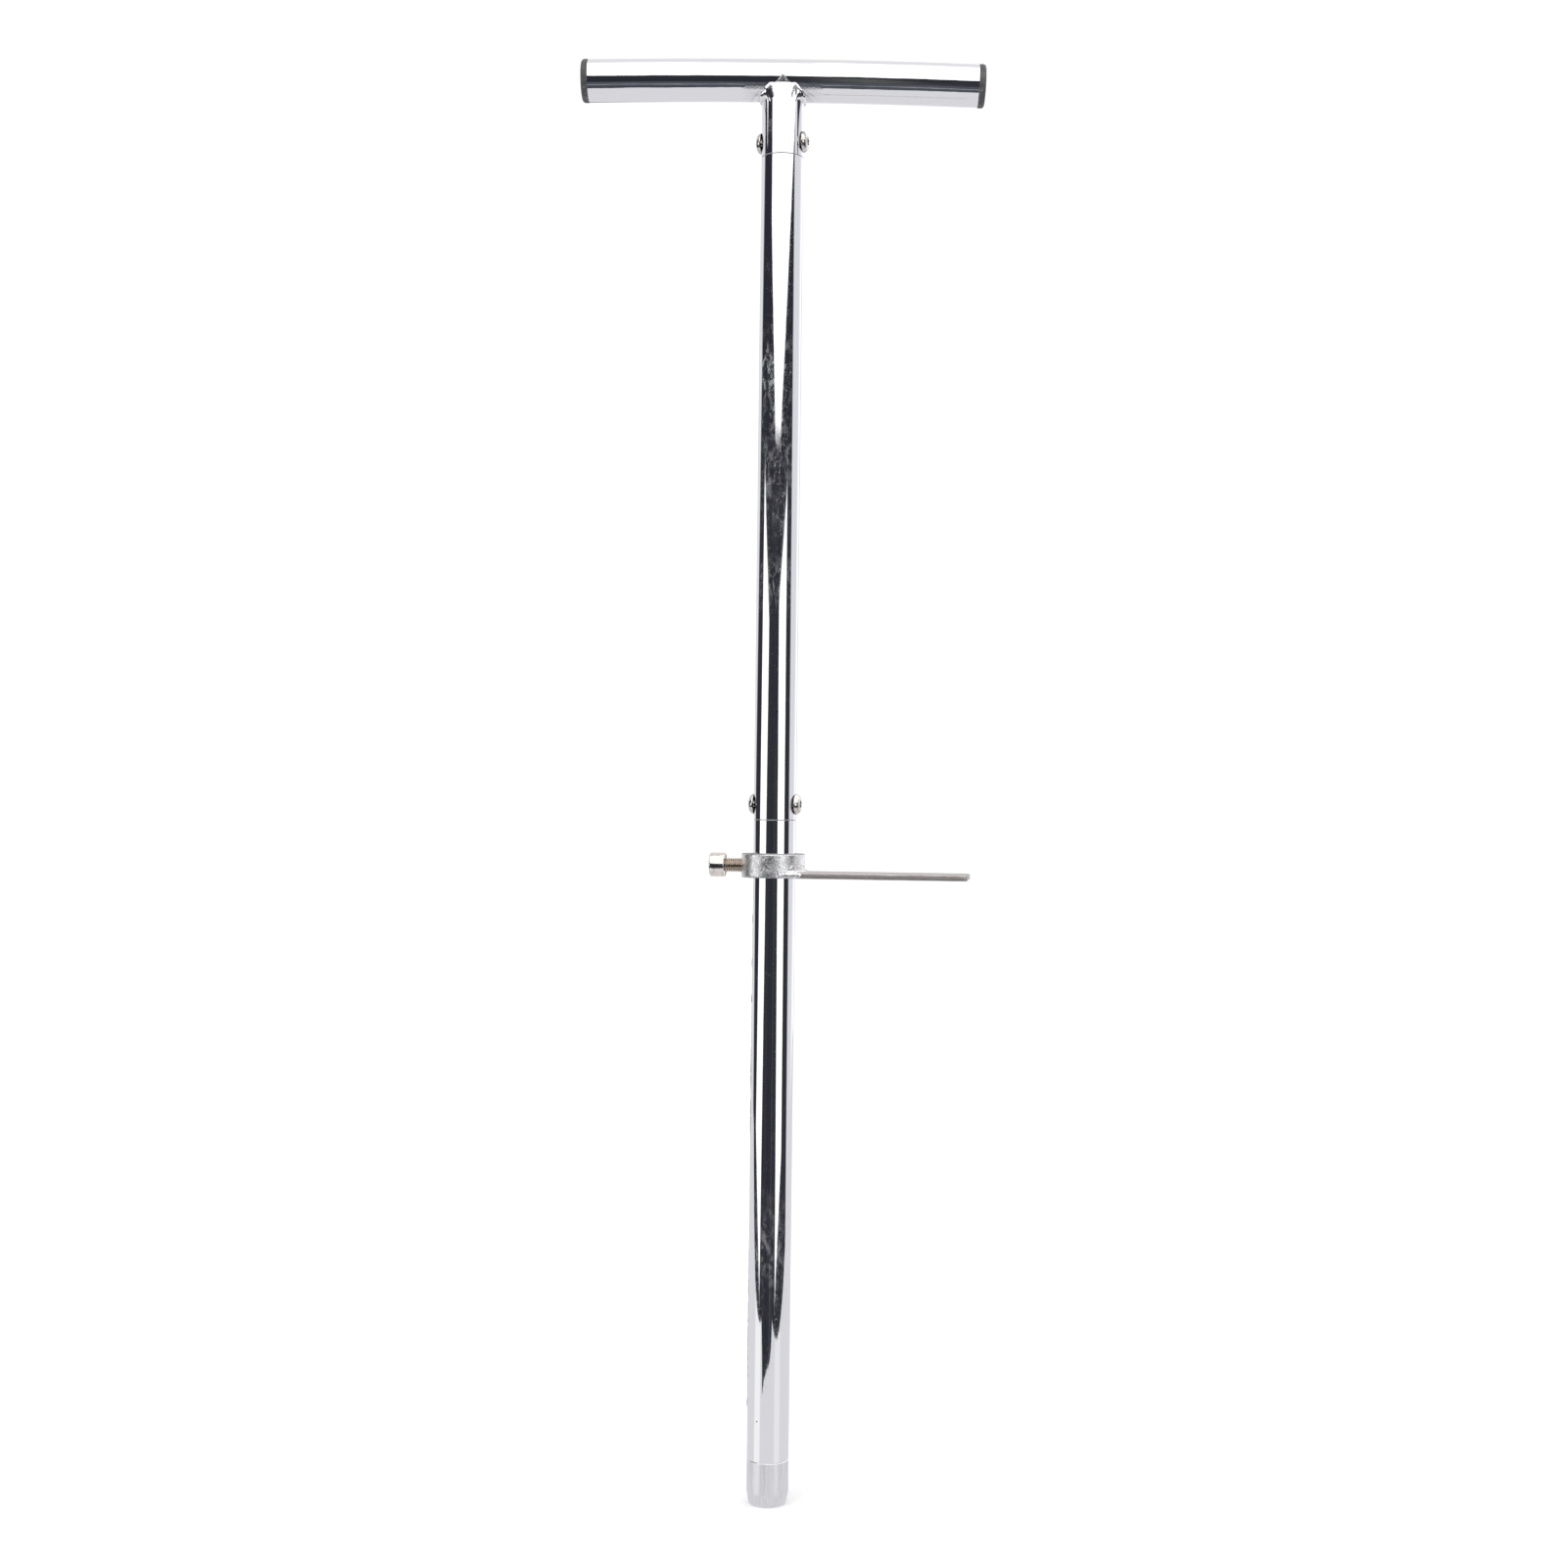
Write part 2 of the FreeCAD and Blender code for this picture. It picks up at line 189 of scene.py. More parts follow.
def chrome_tube_material():
    """Mirror chrome with dust, wipe marks and cloudy scuffs.

    Its cut edges and bore are bare steel, the tubes' rims at both joints are made rough and painted dull grey, a
    painted shadow of the seam gaps, and the stub's tips are painted dark, a painted shade under the handle weld.
    """
    material, tree, shader = new_material("chrome_tube")
    handled_spots = (  # middle, reach and strength of each hazy place
        ((-0.009, -0.010, 0.755), 0.034, 1.0), ((-0.004, -0.013, 0.722), 0.016, 0.9),
        ((0.000, -0.013, 0.690), 0.062, 0.40), ((0.001, -0.013, 0.612), 0.026, 0.6),
        ((-0.002, -0.013, 0.172), 0.050, 0.5))
    pits = (((0.0012, -0.0139, 0.5273), 0.0011), ((-0.0072, -0.0120, 0.0570), 0.0009))

    dust = remap(tree, noise(tree, stretched(tree), 900.0, 5.0, 0.75), 0.54, 0.72, smooth=True)
    wipes = noise(tree, stretched(tree, z=0.12), 700.0, 4.0, 0.6)
    scuffs = remap(tree, wipes, 0.58, 0.74, smooth=True)
    wisps = noise(tree, stretched(tree, z=0.50), 230.0, 6.0, 0.66, 0.9)
    cloud = remap(tree, wisps, 0.44, 0.66, smooth=True)
    grain = remap(tree, noise(tree, stretched(tree), 1300.0, 4.0, 0.7), 0.36, 0.66, 0.40, 1.0, True)
    hazy = remap(tree, noise(tree, stretched(tree), 17.0, 4.0, 0.6, 0.8), 0.56, 0.74, 0.0, 0.35, True)
    for spot, reach, strength in handled_spots:
        hazy = calc(tree, "MAXIMUM", hazy,
                    calc(tree, "MULTIPLY", near_point(tree, spot, reach), strength))
    haze = calc(tree, "MULTIPLY", calc(tree, "MULTIPLY", cloud, grain), hazy)
    veil = calc(tree, "MULTIPLY_ADD", haze, -0.42, 1.0)
    rough = calc(tree, "MULTIPLY_ADD", haze, 0.12, 0.028)
    rough = calc(tree, "MULTIPLY_ADD", dust, 0.17, rough)
    rough = calc(tree, "MULTIPLY_ADD", scuffs, 0.05, rough)
    tint = mix_colour(tree, haze, (0.90, 0.90, 0.92, 1.0), (0.78, 0.81, 0.88, 1.0))
    for pit, reach in pits:
        near_pit = remap(tree, near_point(tree, pit, reach), 0.35, 0.6)
        tint = mix_colour(tree, near_pit, tint, (0.03, 0.025, 0.022, 1.0))

    bare = remap(tree, radius_from_axis(tree), TUBE_R - 0.35 * MM, TUBE_R - 0.15 * MM, 1.0, 0.0)
    rust = noise(tree, stretched(tree, z=0.3), 160.0, 6.0, 0.65, 0.7)
    steel = mix_colour(tree, remap(tree, rust, 0.38, 0.64, smooth=True),
                       (0.20, 0.175, 0.155, 1.0), (0.50, 0.49, 0.48, 1.0))
    colour = mix_colour(tree, bare, tint, steel)
    rough = mix_value(tree, bare, rough, remap(tree, rust, 0.3, 0.7, 0.50, 0.28))

    height = object_axes(tree)[2]
    # painted shadow: a rough dull grey line at each joint stands in for the shade in the seam gap
    for joint in TUBE_JOINTS:
        gap = calc(tree, "ABSOLUTE", calc(tree, "SUBTRACT", height, joint))
        rim = remap(tree, gap, 0.22 * MM, 0.42 * MM, 1.0, 0.0)
        colour = mix_colour(tree, rim, colour, (0.56, 0.56, 0.58, 1.0))
        rough = mix_value(tree, rim, rough, 0.5)
    # painted shade: the stub's tips are darkened where they meet the bar under the handle weld
    painted_weld_shade = remap(tree, height, BAR_Z - 5.4 * MM, BAR_Z - 4.8 * MM, 0.0, 0.97)
    colour = mix_colour(tree, painted_weld_shade, colour, (0.03, 0.03, 0.035, 1.0))
    surface = calc(tree, "MULTIPLY_ADD", rust, calc(tree, "MULTIPLY", bare, 6.0), wipes)
    drive(tree, shader, colour=colour, metal=veil, rough=rough,
          normal=bump(tree, surface, 0.035, 0.2 * MM))
    return material


def chrome_bar_material():
    """The handle's chrome: drawn lines along it, and polishing marks that fan out from the weld."""
    material, tree, shader = new_material("chrome_bar")
    lines = noise(tree, stretched(tree, x=0.015), 1300.0, 3.0, 0.6)
    dust = remap(tree, noise(tree, stretched(tree), 1500.0, 3.0, 0.7), 0.60, 0.76, smooth=True)
    x, _, height = object_axes(tree)
    aside = calc(tree, "ABSOLUTE", x)
    beneath = calc(tree, "SUBTRACT", BAR_Z - 1.0 * MM, height)
    spread = calc(tree, "ARCTAN2", aside, beneath)
    fan = add_node(tree, "ShaderNodeCombineXYZ", {0: calc(tree, "MULTIPLY", spread, 42.0),
                                                  1: calc(tree, "MULTIPLY", x, 90.0)})
    marks = remap(tree, noise(tree, fan.outputs[0], 1.0, 4.0, 0.65, 0.3), 0.38, 0.64, smooth=True)
    reach = calc(tree, "MULTIPLY", remap(tree, aside, 16.0 * MM, 28.0 * MM, 1.0, 0.0, True),
                 remap(tree, height, BAR_Z - 9.5 * MM, BAR_Z - 4.5 * MM, 1.0, 0.0, True))
    marks = calc(tree, "MULTIPLY", marks, reach)
    rough = calc(tree, "MULTIPLY_ADD", dust, 0.06, 0.030)
    rough = calc(tree, "MULTIPLY_ADD", marks, 0.10, rough)
    tint = mix_colour(tree, lines, (0.86, 0.86, 0.88, 1.0), (0.94, 0.94, 0.955, 1.0))
    tint = mix_colour(tree, calc(tree, "MULTIPLY", marks, 0.55), tint, (0.42, 0.42, 0.45, 1.0))
    surface = calc(tree, "MULTIPLY_ADD", marks, 26.0, lines)
    drive(tree, shader, colour=tint, metal=1.0, rough=rough,
          normal=bump(tree, surface, 0.07, 0.2 * MM))
    return material


def cap_material():
    """Satin moulded plastic with a fine grain, rubbed paler in places."""
    material, tree, shader = new_material("cap_plastic")
    grain = noise(tree, stretched(tree), 2400.0, 3.0, 0.6)
    marks = noise(tree, stretched(tree, x=0.4), 260.0, 5.0, 0.65)
    rubbed = remap(tree, marks, 0.50, 0.72, smooth=True)
    colour = mix_colour(tree, rubbed, (0.050, 0.049, 0.053, 1.0), (0.115, 0.113, 0.118, 1.0))
    rough = remap(tree, marks, 0.3, 0.7, 0.38, 0.58)
    drive(tree, shader, colour=colour, rough=rough, normal=bump(tree, grain, 0.35, 0.2 * MM))
    return material


def steel_material(name, dark, light, rough, grain, blotch, bumpiness,
                   stretch=(1.0, 1.0, 1.0), grime=0.0, dark_rims=()):
    """Bare or plated steel: two mixed tones, mottled roughness, a grained surface and dark specks.

    rough is its lowest and highest roughness. grain and blotch are the scales of the surface and of
    the tones. Level rims at the heights in dark_rims are painted darker, a painted dark reflection in the
    chamfered edges.
    """
    material, tree, shader = new_material(name)
    where = stretched(tree, *stretch)
    mottle = noise(tree, where, blotch, 5.0, 0.62, 0.6)
    fine = noise(tree, where, grain, 4.0, 0.6)
    mixed = remap(tree, mottle, 0.35, 0.66, smooth=True)
    colour = mix_colour(tree, mixed, (*dark, 1.0), (*light, 1.0))
    if grime:
        specks = noise(tree, where, blotch * 2.6, 4.0, 0.7, 0.4)
        colour = mix_colour(tree, remap(tree, specks, 0.60, 0.70, 0.0, grime, True), colour,
                            (0.10, 0.095, 0.095, 1.0))
    # painted reflection: each rim darkened along its chamfer, with the edge of the dark line broken up by the
    # mottle
    for rim in dark_rims:
        gap = calc(tree, "ABSOLUTE", calc(tree, "SUBTRACT", object_axes(tree)[2], rim))
        gap = calc(tree, "MULTIPLY_ADD", mottle, -1.2 * MM, gap)
        painted_rim_dark = remap(tree, gap, -0.3 * MM, 0.15 * MM, 0.80, 0.0, True)
        colour = mix_colour(tree, painted_rim_dark, colour, (0.13, 0.125, 0.12, 1.0))
    both = calc(tree, "MULTIPLY_ADD", fine, 0.5, calc(tree, "MULTIPLY", mottle, 0.5))
    surface = calc(tree, "MULTIPLY_ADD", mottle, 1.5, fine)
    drive(tree, shader, colour=colour, metal=1.0,
          rough=remap(tree, both, 0.35, 0.65, rough[1], rough[0]),
          normal=bump(tree, surface, bumpiness, 0.6 * MM))
    return material


def plated_weld_material():
    """Plated bead. Where it lies flush over the stub's tip it is painted dark and patchy, a painted shade where
    bar and stub meet.
    """
    material = steel_material("plated_weld", (0.84, 0.84, 0.86), (0.94, 0.94, 0.95),
                              rough=(0.05, 0.16), grain=1300.0, blotch=520.0, bumpiness=0.04)
    tree = material.node_tree
    x, _, height = object_axes(tree)
    # painted shade: a dark patch over the stub's tip where bar and stub meet, broken up by noise
    flush = calc(tree, "MULTIPLY",
                 remap(tree, calc(tree, "ABSOLUTE", x), 4.6 * MM, 5.8 * MM, 1.0, 0.0, True),
                 remap(tree, height, BAR_Z - 5.6 * MM, BAR_Z - 4.6 * MM, smooth=True))
    patchy_shade = remap(tree, noise(tree, stretched(tree), 900.0, 4.0, 0.6), 0.46, 0.62, 0.96, 0.60, True)
    stain_and_shade(material, calc(tree, "MULTIPLY", flush, patchy_shade), (0.05, 0.05, 0.06, 1.0))
    return material


def clamp_screw_material():
    """Nickel plate, with old oil and rust in the grooves of the thread."""
    material = steel_material("clamp_screw_nickel", (0.72, 0.67, 0.60), (0.90, 0.87, 0.82),
                              rough=(0.06, 0.15), grain=1500.0, blotch=260.0, bumpiness=0.03,
                              grime=0.25)
    tree = material.node_tree
    low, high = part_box("clamp_screw")
    arm = add_node(tree, "ShaderNodeVectorMath",
                   {0: object_place(tree), 1: (0.0, 0.0, (low.z + high.z) / 2)},
                   operation="SUBTRACT").outputs["Vector"]
    across = add_node(tree, "ShaderNodeVectorMath", {0: arm, 1: SCREW_AXIS},
                      operation="CROSS_PRODUCT").outputs["Vector"]
    from_axis = add_node(tree, "ShaderNodeVectorMath", {0: across},
                         operation="LENGTH").outputs["Value"]
    stain_and_shade(material, remap(tree, from_axis, 4.2 * MM, 4.85 * MM, 1.0, 0.0, True),
          (0.36, 0.27, 0.20, 1.0))
    return material


def turned_material():
    """Turned steel of the cutting ring: fine lathe lines round it and light scratches up it."""
    material, tree, shader = new_material("tip_steel")
    lines = noise(tree, stretched(tree, x=0.02, y=0.02), 5200.0, 3.0, 0.7)
    scratches = noise(tree, stretched(tree, z=0.06), 900.0, 4.0, 0.65)
    worn = remap(tree, scratches, 0.42, 0.66, smooth=True)
    colour = mix_colour(tree, worn, (0.86, 0.86, 0.88, 1.0), (0.78, 0.78, 0.80, 1.0))
    both = calc(tree, "MULTIPLY_ADD", lines, 0.6, calc(tree, "MULTIPLY", scratches, 0.4))
    surface = calc(tree, "MULTIPLY_ADD", scratches, 0.7, lines)
    drive(tree, shader, colour=colour, metal=1.0, rough=remap(tree, both, 0.35, 0.65, 0.12, 0.24),
          normal=bump(tree, surface, 0.06, 0.3 * MM))
    return material


def floor_material():
    """Matt white paper."""
    material, tree, shader = new_material("floor")
    paper = noise(tree, stretched(tree), 40.0, 4.0)
    colour = mix_colour(tree, paper, grey(0.955), grey(0.975))
    drive(tree, shader, colour=colour, rough=0.9, spec=0.0,
          normal=bump(tree, paper, 0.05, 1.0 * MM))
    return material


def make_materials():
    """All materials by slot name. The handle bar's and the handle weld's are given by hand."""
    steels = {
        "weld_metal": dict(dark=(0.60, 0.60, 0.62), light=(0.93, 0.93, 0.94), rough=(0.14, 0.40),
                           grain=1500.0, blotch=420.0, bumpiness=0.30, grime=0.5),
        "sleeve_steel": dict(dark=(0.40, 0.40, 0.42), light=(0.58, 0.58, 0.60), rough=(0.30, 0.50),
                             grain=1200.0, blotch=90.0, bumpiness=0.25),
        "cut_edge": dict(dark=(0.34, 0.33, 0.34), light=(0.80, 0.80, 0.82), rough=(0.12, 0.38),
                         grain=1400.0, blotch=330.0, bumpiness=0.30, grime=0.6),
        "button_screw_steel": dict(dark=(0.62, 0.60, 0.57), light=(0.82, 0.80, 0.77),
                                   rough=(0.10, 0.24), grain=1800.0, blotch=300.0, bumpiness=0.08,
                                   grime=0.3),
        "nut_steel": dict(dark=(0.40, 0.40, 0.42), light=(0.58, 0.58, 0.60), rough=(0.25, 0.45),
                          grain=1500.0, blotch=200.0, bumpiness=0.20),
        # collar: dark_rims paints dark reflections along its top and bottom rims
        "collar_steel": dict(dark=(0.80, 0.80, 0.82), light=(0.97, 0.97, 0.98), rough=(0.20, 0.42),
                             grain=1300.0, blotch=330.0, bumpiness=0.20, grime=0.45,
                             dark_rims=(COLLAR_LOW, COLLAR_HIGH)),
        "plate_steel": dict(dark=(0.50, 0.46, 0.44), light=(0.60, 0.565, 0.55), rough=(0.38, 0.50),
                            grain=1300.0, blotch=300.0, bumpiness=0.07, stretch=(0.30, 1.0, 1.0),
                            grime=0.30),
    }
    made = {name: steel_material(name, **look) for name, look in steels.items()}
    made["chrome_tube"] = chrome_tube_material()
    made["chrome_bar"] = chrome_bar_material()
    made["cap_plastic"] = cap_material()
    made["plated_weld"] = plated_weld_material()
    made["clamp_screw_nickel"] = clamp_screw_material()
    made["tip_steel"] = turned_material()
    return made


def give(obj, material):
    obj.data.materials.clear()
    obj.data.materials.append(material)


# ---- mesh building ----
def rough_noise(point, size):
    """Smooth noise from -1 to 1 whose lumps are about the given size."""
    return perlin.noise(Vector(point) / size)


def finish_piece(name, mesh, body, material, sharp_angle):
    for polygon in mesh.polygons:
        polygon.use_smooth = True
    mesh.set_sharp_from_angle(angle=math.radians(sharp_angle))
    piece = bpy.data.objects.new(name, mesh)
    scene.collection.objects.link(piece)
    give(piece, material)
    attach(piece, body)
    return piece


def rings_mesh(name, shells, closed_loop=False):
    """Mesh of one or more shells. A shell is a list of rings of points, joined ring to ring.

    A closed loop's last ring joins its first; otherwise both end rings are closed by a face.
    """
    points, faces = [], []
    for rings in shells:
        start = len(points)
        count = len(rings[0])
        for ring in rings:
            points.extend(ring)
        for row in range(len(rings) if closed_loop else len(rings) - 1):
            this_row = start + row * count
            next_row = start + (row + 1) % len(rings) * count
            for column in range(count):
                after = (column + 1) % count
                faces.append((this_row + column, this_row + after,
                              next_row + after, next_row + column))
        if not closed_loop:
            last_row = start + (len(rings) - 1) * count
            faces.append(tuple(range(start + count - 1, start - 1, -1)))
            faces.append(tuple(range(last_row, last_row + count)))
    mesh = bpy.data.meshes.new(name)
    mesh.from_pydata(points, [], faces)
    solid = bmesh.new()
    solid.from_mesh(mesh)
    bmesh.ops.recalc_face_normals(solid, faces=solid.faces)
    solid.to_mesh(mesh)
    solid.free()
    return mesh


# ---- screws, sized in millimetres ----
THREAD_DEPTH = 0.60     # in pitches
SCREW_STEP = 0.13       # along the axis
SCREW_COLUMNS = 96


def thread_radius(along, turn, crest, pitch):
    """Radius of a 60 degree thread with a flat crest and a round root."""
    slope = abs((along / pitch - turn) % 1.0 - 0.5) * 2.0
    height = min(max((slope - 0.22) / 0.64, 0.0), 1.0)
    return crest - THREAD_DEPTH * pitch * (1.0 - height)


def hexagon_radius(turn, flats):
    """Radius of a hexagon socket with the given width across its flats."""
    angle = (turn * 360.0 + 30.0) % 60.0 - 30.0
    return flats / 2.0 / math.cos(math.radians(angle))


def screw_mesh(name, place, shank, crest, pitch, head, socket_flats, socket_floor):
    """Socket screw. Along its axis 0 is the shank's end.

    head is the turned outline from the shank's top to the socket's mouth, as (along, radius).
    """
    root = crest - THREAD_DEPTH * pitch
    rings = []

    def add(along, radius_at):
        ring = []
        for column in range(SCREW_COLUMNS):
            turn = column / SCREW_COLUMNS
            angle = 2 * math.pi * turn
            radius = radius_at(turn)
            ring.append(place @ Vector((along * MM, radius * math.cos(angle) * MM,
                                        radius * math.sin(angle) * MM)))
        rings.append(ring)

    steps = round(shank / SCREW_STEP)
    for step in range(steps):
        along = shank * step / steps
        chamfer = crest - 0.9 + along
        relief = crest + (shank - along) * 1.2 - 1.1
        add(along, lambda turn: min(thread_radius(along, turn, crest, pitch),
                                    chamfer, max(relief, root)))
    add(shank, lambda turn: root)
    for along, radius in head:
        add(along, lambda turn: radius)
    mouth = head[-1][0] - 0.25
    add(mouth, lambda turn: hexagon_radius(turn, socket_flats))
    add(socket_floor, lambda turn: hexagon_radius(turn, socket_flats))
    add(socket_floor, lambda turn: hexagon_radius(turn, socket_flats) * 0.55)
    add(socket_floor - 0.5, lambda turn: 0.25)
    return rings_mesh(name, [rings])


def pointing(azimuth, radius, height):
    """Puts local X along a direction out from the tube's axis."""
    return Matrix.Rotation(azimuth, 4, "Z") @ Matrix.Translation((radius, 0.0, height))


def arc_between(start, middle, end, count):
    """Points of the circle through three (along, radius) points, first and last left out."""
    ax, ay = start
    bx, by = middle
    cx, cy = end
    d = 2 * (ax * (by - cy) + bx * (cy - ay) + cx * (ay - by))
    a2, b2, c2 = ax * ax + ay * ay, bx * bx + by * by, cx * cx + cy * cy
    ux = (a2 * (by - cy) + b2 * (cy - ay) + c2 * (ay - by)) / d
    uy = (a2 * (cx - bx) + b2 * (ax - cx) + c2 * (bx - ax)) / d
    radius = math.hypot(ax - ux, ay - uy)
    first, last = math.atan2(ay - uy, ax - ux), math.atan2(cy - uy, cx - ux)
    points = []
    for step in range(1, count):
        angle = first + (last - first) * step / count
        points.append((ux + radius * math.cos(angle), uy + radius * math.sin(angle)))
    return points


def make_button_screw(node):
    """M8 button-head screw in place of a CAD one, on the same seat."""
    low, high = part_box(node)
    azimuth = JOINT_SCREW_AZIMUTH + (math.pi if low.x + high.x < 0 else 0.0)
    length = 12.0
    place = pointing(azimuth, TUBE_R - length * MM, (low.z + high.z) / 2)
    dome = [(along + length, radius)
            for along, radius in arc_between((0.5, 7.0), (2.4, 5.85), (3.5, 3.7), 12)]
    head = [(length, 6.85), (length + 0.15, 7.0), (length + 0.5, 7.0)] + dome
    head += [(length + 3.5, 3.7), (length + 3.5, 3.05)]
    mesh = screw_mesh(node + "_detail", place, length, crest=3.95, pitch=1.25, head=head,
                      socket_flats=5.0, socket_floor=length + 1.4)
    piece = finish_piece(node + "_detail", mesh, "tool",
                         materials["button_screw_steel"], 30.0)
    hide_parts(node)


def make_clamp_screw():
    """M10 cap screw with its real thread, in place of the plain CAD one."""
    low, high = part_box("clamp_screw")
    length = 19.0
    place = STEP_TURN @ pointing(math.pi, TUBE_R + 0.3 * MM, (low.z + high.z) / 2)
    top = length + 10.0
    head = [(length, 7.55), (length + 0.12, 7.85), (length + 0.4, 8.0), (top - 0.75, 8.0),
            (top - 0.45, 7.88), (top - 0.15, 7.6), (top, 7.25), (top, 5.0)]
    mesh = screw_mesh("clamp_screw_detail", place, length, crest=4.95, pitch=1.5, head=head,
                      socket_flats=8.0, socket_floor=top - 5.0)
    piece = finish_piece("clamp_screw_detail", mesh, "clamp_screw",
                         materials["clamp_screw_nickel"], 30.0)
    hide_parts("clamp_screw")


# ---- welds ----
def scale_ripple(phase):
    """Height of overlapping weld scales: steep at each scale's start, falling to the next."""
    part = phase % 1.0
    return (1.0 - part) * min(part / 0.18, 1.0)


def eased(value, points):
    """Piecewise smooth curve through (place, amount) points."""
    for (x0, y0), (x1, y1) in zip(points, points[1:]):
        if value <= x1:
            part = max(0.0, (value - x0) / (x1 - x0))
            return y0 + (y1 - y0) * part * part * (3.0 - 2.0 * part)
    return points[-1][1]


def make_handle_weld():
    """Plated and dressed bead all the way round the saddle between handle bar and stub.

    Flush at front and back, where bar and stub meet almost level, and full at the shoulders.
    """
    steps, across, scales = 600, 16, 60
    rings = []
    for step in range(steps):
        turn = 2 * math.pi * step / steps
        c, s = math.cos(turn), math.sin(turn)
        a = abs(c)
        wander = rough_noise((c * 4, s * 4, 0.3), 0.8)
        fine = rough_noise((c * 14, s * 14, 4.1), 0.9)
        bar_leg = eased(a, [(0.0, 0.4), (0.34, 0.2), (0.62, 3.7), (0.86, 3.6), (1.0, 1.6)])
        stub_leg = eased(a, [(0.0, 3.8), (0.2, 3.0), (0.40, 9.0), (0.58, 9.0), (0.76, 4.5),
                             (0.86, 2.8), (1.0, 1.6)])
        uneven = eased(a, [(0.0, 0.5), (0.25, 0.15), (0.60, 0.15), (0.80, 1.0), (1.0, 1.0)])
        bar_leg += (0.45 * wander + 0.25 * fine) * uneven
        stub_leg += (0.4 * fine - 0.3 * wander) * uneven
        run = Vector((c * a ** 3, s)).normalized() * bar_leg * MM
        round_bar = math.asin(max(-1.0, min(1.0, s))) + run.y / TUBE_R
        bar_toe = Vector((TUBE_R * c + run.x, TUBE_R * math.sin(round_bar),
                          BAR_Z - TUBE_R * math.cos(round_bar)))
        stub_toe = Vector((TUBE_R * c, TUBE_R * s, BAR_Z - TUBE_R * a - stub_leg * MM))
        out = Vector((c, 2 * s, -a)).normalized()
        crown = eased(a, [(0.0, 0.20), (0.2, 0.14), (0.34, 0.10), (0.55, 0.22), (0.74, 1.05),
                          (0.88, 1.40), (1.0, 0.55)])
        crown += 0.30 * uneven * rough_noise((c * 9, s * 9, 7.7), 1.5) * min(1.0, crown)
        level = eased(a, [(0.0, 1.0), (0.30, 1.0), (0.62, 0.0), (1.0, 0.0)])
        ring = []
        for number in range(across + 1):
            part = number / across
            bow = math.sin(math.pi * part)
            ramp = min(part / 0.09, 1.0) * (1.0 - part)
            height = crown * (bow ** 0.8 * (1.0 - level) + ramp * level)
            lump = rough_noise(bar_toe.lerp(stub_toe, part) / MM, 1.3)
            ripple = scale_ripple(step / steps * scales)
            height += (0.10 * lump + 0.03 * ripple) * bow * uneven
            ring.append(bar_toe.lerp(stub_toe, part) + out * (height - 0.04) * MM)
        ring.append(Vector((TUBE_R * c, TUBE_R * s, BAR_Z - TUBE_R * a)) - out * 1.1 * MM)
        rings.append([point - Vector((0, 0, point.x * BAR_TILT)) for point in ring])
    mesh = rings_mesh("handle_weld_bead", [rings], closed_loop=True)
    piece = finish_piece("handle_weld_bead", mesh, "tool",
                         materials["plated_weld"], 60.0)
    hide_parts("handle_weld")


def bead_shell(path, across_of, half_width, half_height, spacing, seed,
               start_taper=2.0, end_taper=2.0):
    """Rippled weld run along a path of points, tapered at its ends. Sizes in millimetres."""
    columns = 28
    rings = []
    total = sum((b - a).length for a, b in zip(path, path[1:])) / MM
    for number, centre in enumerate(path):
        part = number / (len(path) - 1)
        end = min(part * total / start_taper, (1.0 - part) * total / end_taper, 1.0)
        swell = math.sqrt(max(1.0 - (1.0 - end) ** 2, 0.004))
        swell *= 1.0 + 0.14 * rough_noise((part * total, seed, 0.0), 2.3)
        first, second = across_of(centre)
        ring = []
        for column in range(columns):
            angle = 2 * math.pi * column / columns
            phase = part * total / spacing + 0.35 * math.sin(angle)
            ripple = 1.0 + 0.035 * scale_ripple(phase)
            lumpy = (part * total, math.cos(angle), math.sin(angle) + seed)
            lump = 1.0 + 0.10 * rough_noise(lumpy, 1.2)
            reach = swell * ripple * lump
            ring.append(centre + first * half_width * reach * math.cos(angle) * MM
                        + second * half_height * reach * math.sin(angle) * MM)
        rings.append(ring)
    return rings


def make_plate_weld():
    """Weld of the foot step: one bead over the cope and one along each edge of the plate."""
    centre = Vector((COLLAR_CENTRE_X, 0, 0))
    up = Vector((0, 0, 1))
    half_span = 63          # degrees, over the cope
    cope_steps, edge_steps = 180, 80
    edge_start, edge_length = 5.4, 15.4

    def round_collar(point):
        away = point - centre
        away.z = 0
        return away.normalized(), up

    def along_edge(point):
        return Vector((0, 1, 0)), up

    arc = []
    for step in range(cope_steps + 1):
        angle = math.radians(-half_span + 2 * half_span * step / cope_steps)
        radius = COLLAR_R + (0.35 + 0.25 * rough_noise((step * 0.05, 2.0, 0.0), 1.0)) * MM
        arc.append(centre + Vector((radius * math.cos(angle), radius * math.sin(angle),
                                    PLATE_TOP + 0.15 * MM)))
    shells = [bead_shell(arc, round_collar, half_width=1.7, half_height=1.2, spacing=2.2, seed=3.0)]
    for side in (-1, 1):
        run = []
        for step in range(edge_steps + 1):
            part = step / edge_steps
            height = (COLLAR_LOW + PLATE_TOP) / 2 + (0.1 + 0.35 * math.sin(part * 4.0 + side)) * MM
            run.append(Vector(((edge_start + edge_length * part) * MM,
                               side * (PLATE_HALF_WIDTH - 0.2 * MM), height)))
        shells.append(bead_shell(run, along_edge, half_width=1.7, half_height=2.0, spacing=2.2,
                                 seed=7.0 + side, start_taper=7.0, end_taper=4.0))
    shells = [[[STEP_TURN @ point for point in ring] for ring in rings] for rings in shells]
    mesh = rings_mesh("foot_plate_weld_bead", shells)
    piece = finish_piece("foot_plate_weld_bead", mesh, "foot_step",
                         materials["weld_metal"], 50.0)
    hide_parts("foot_plate_weld")


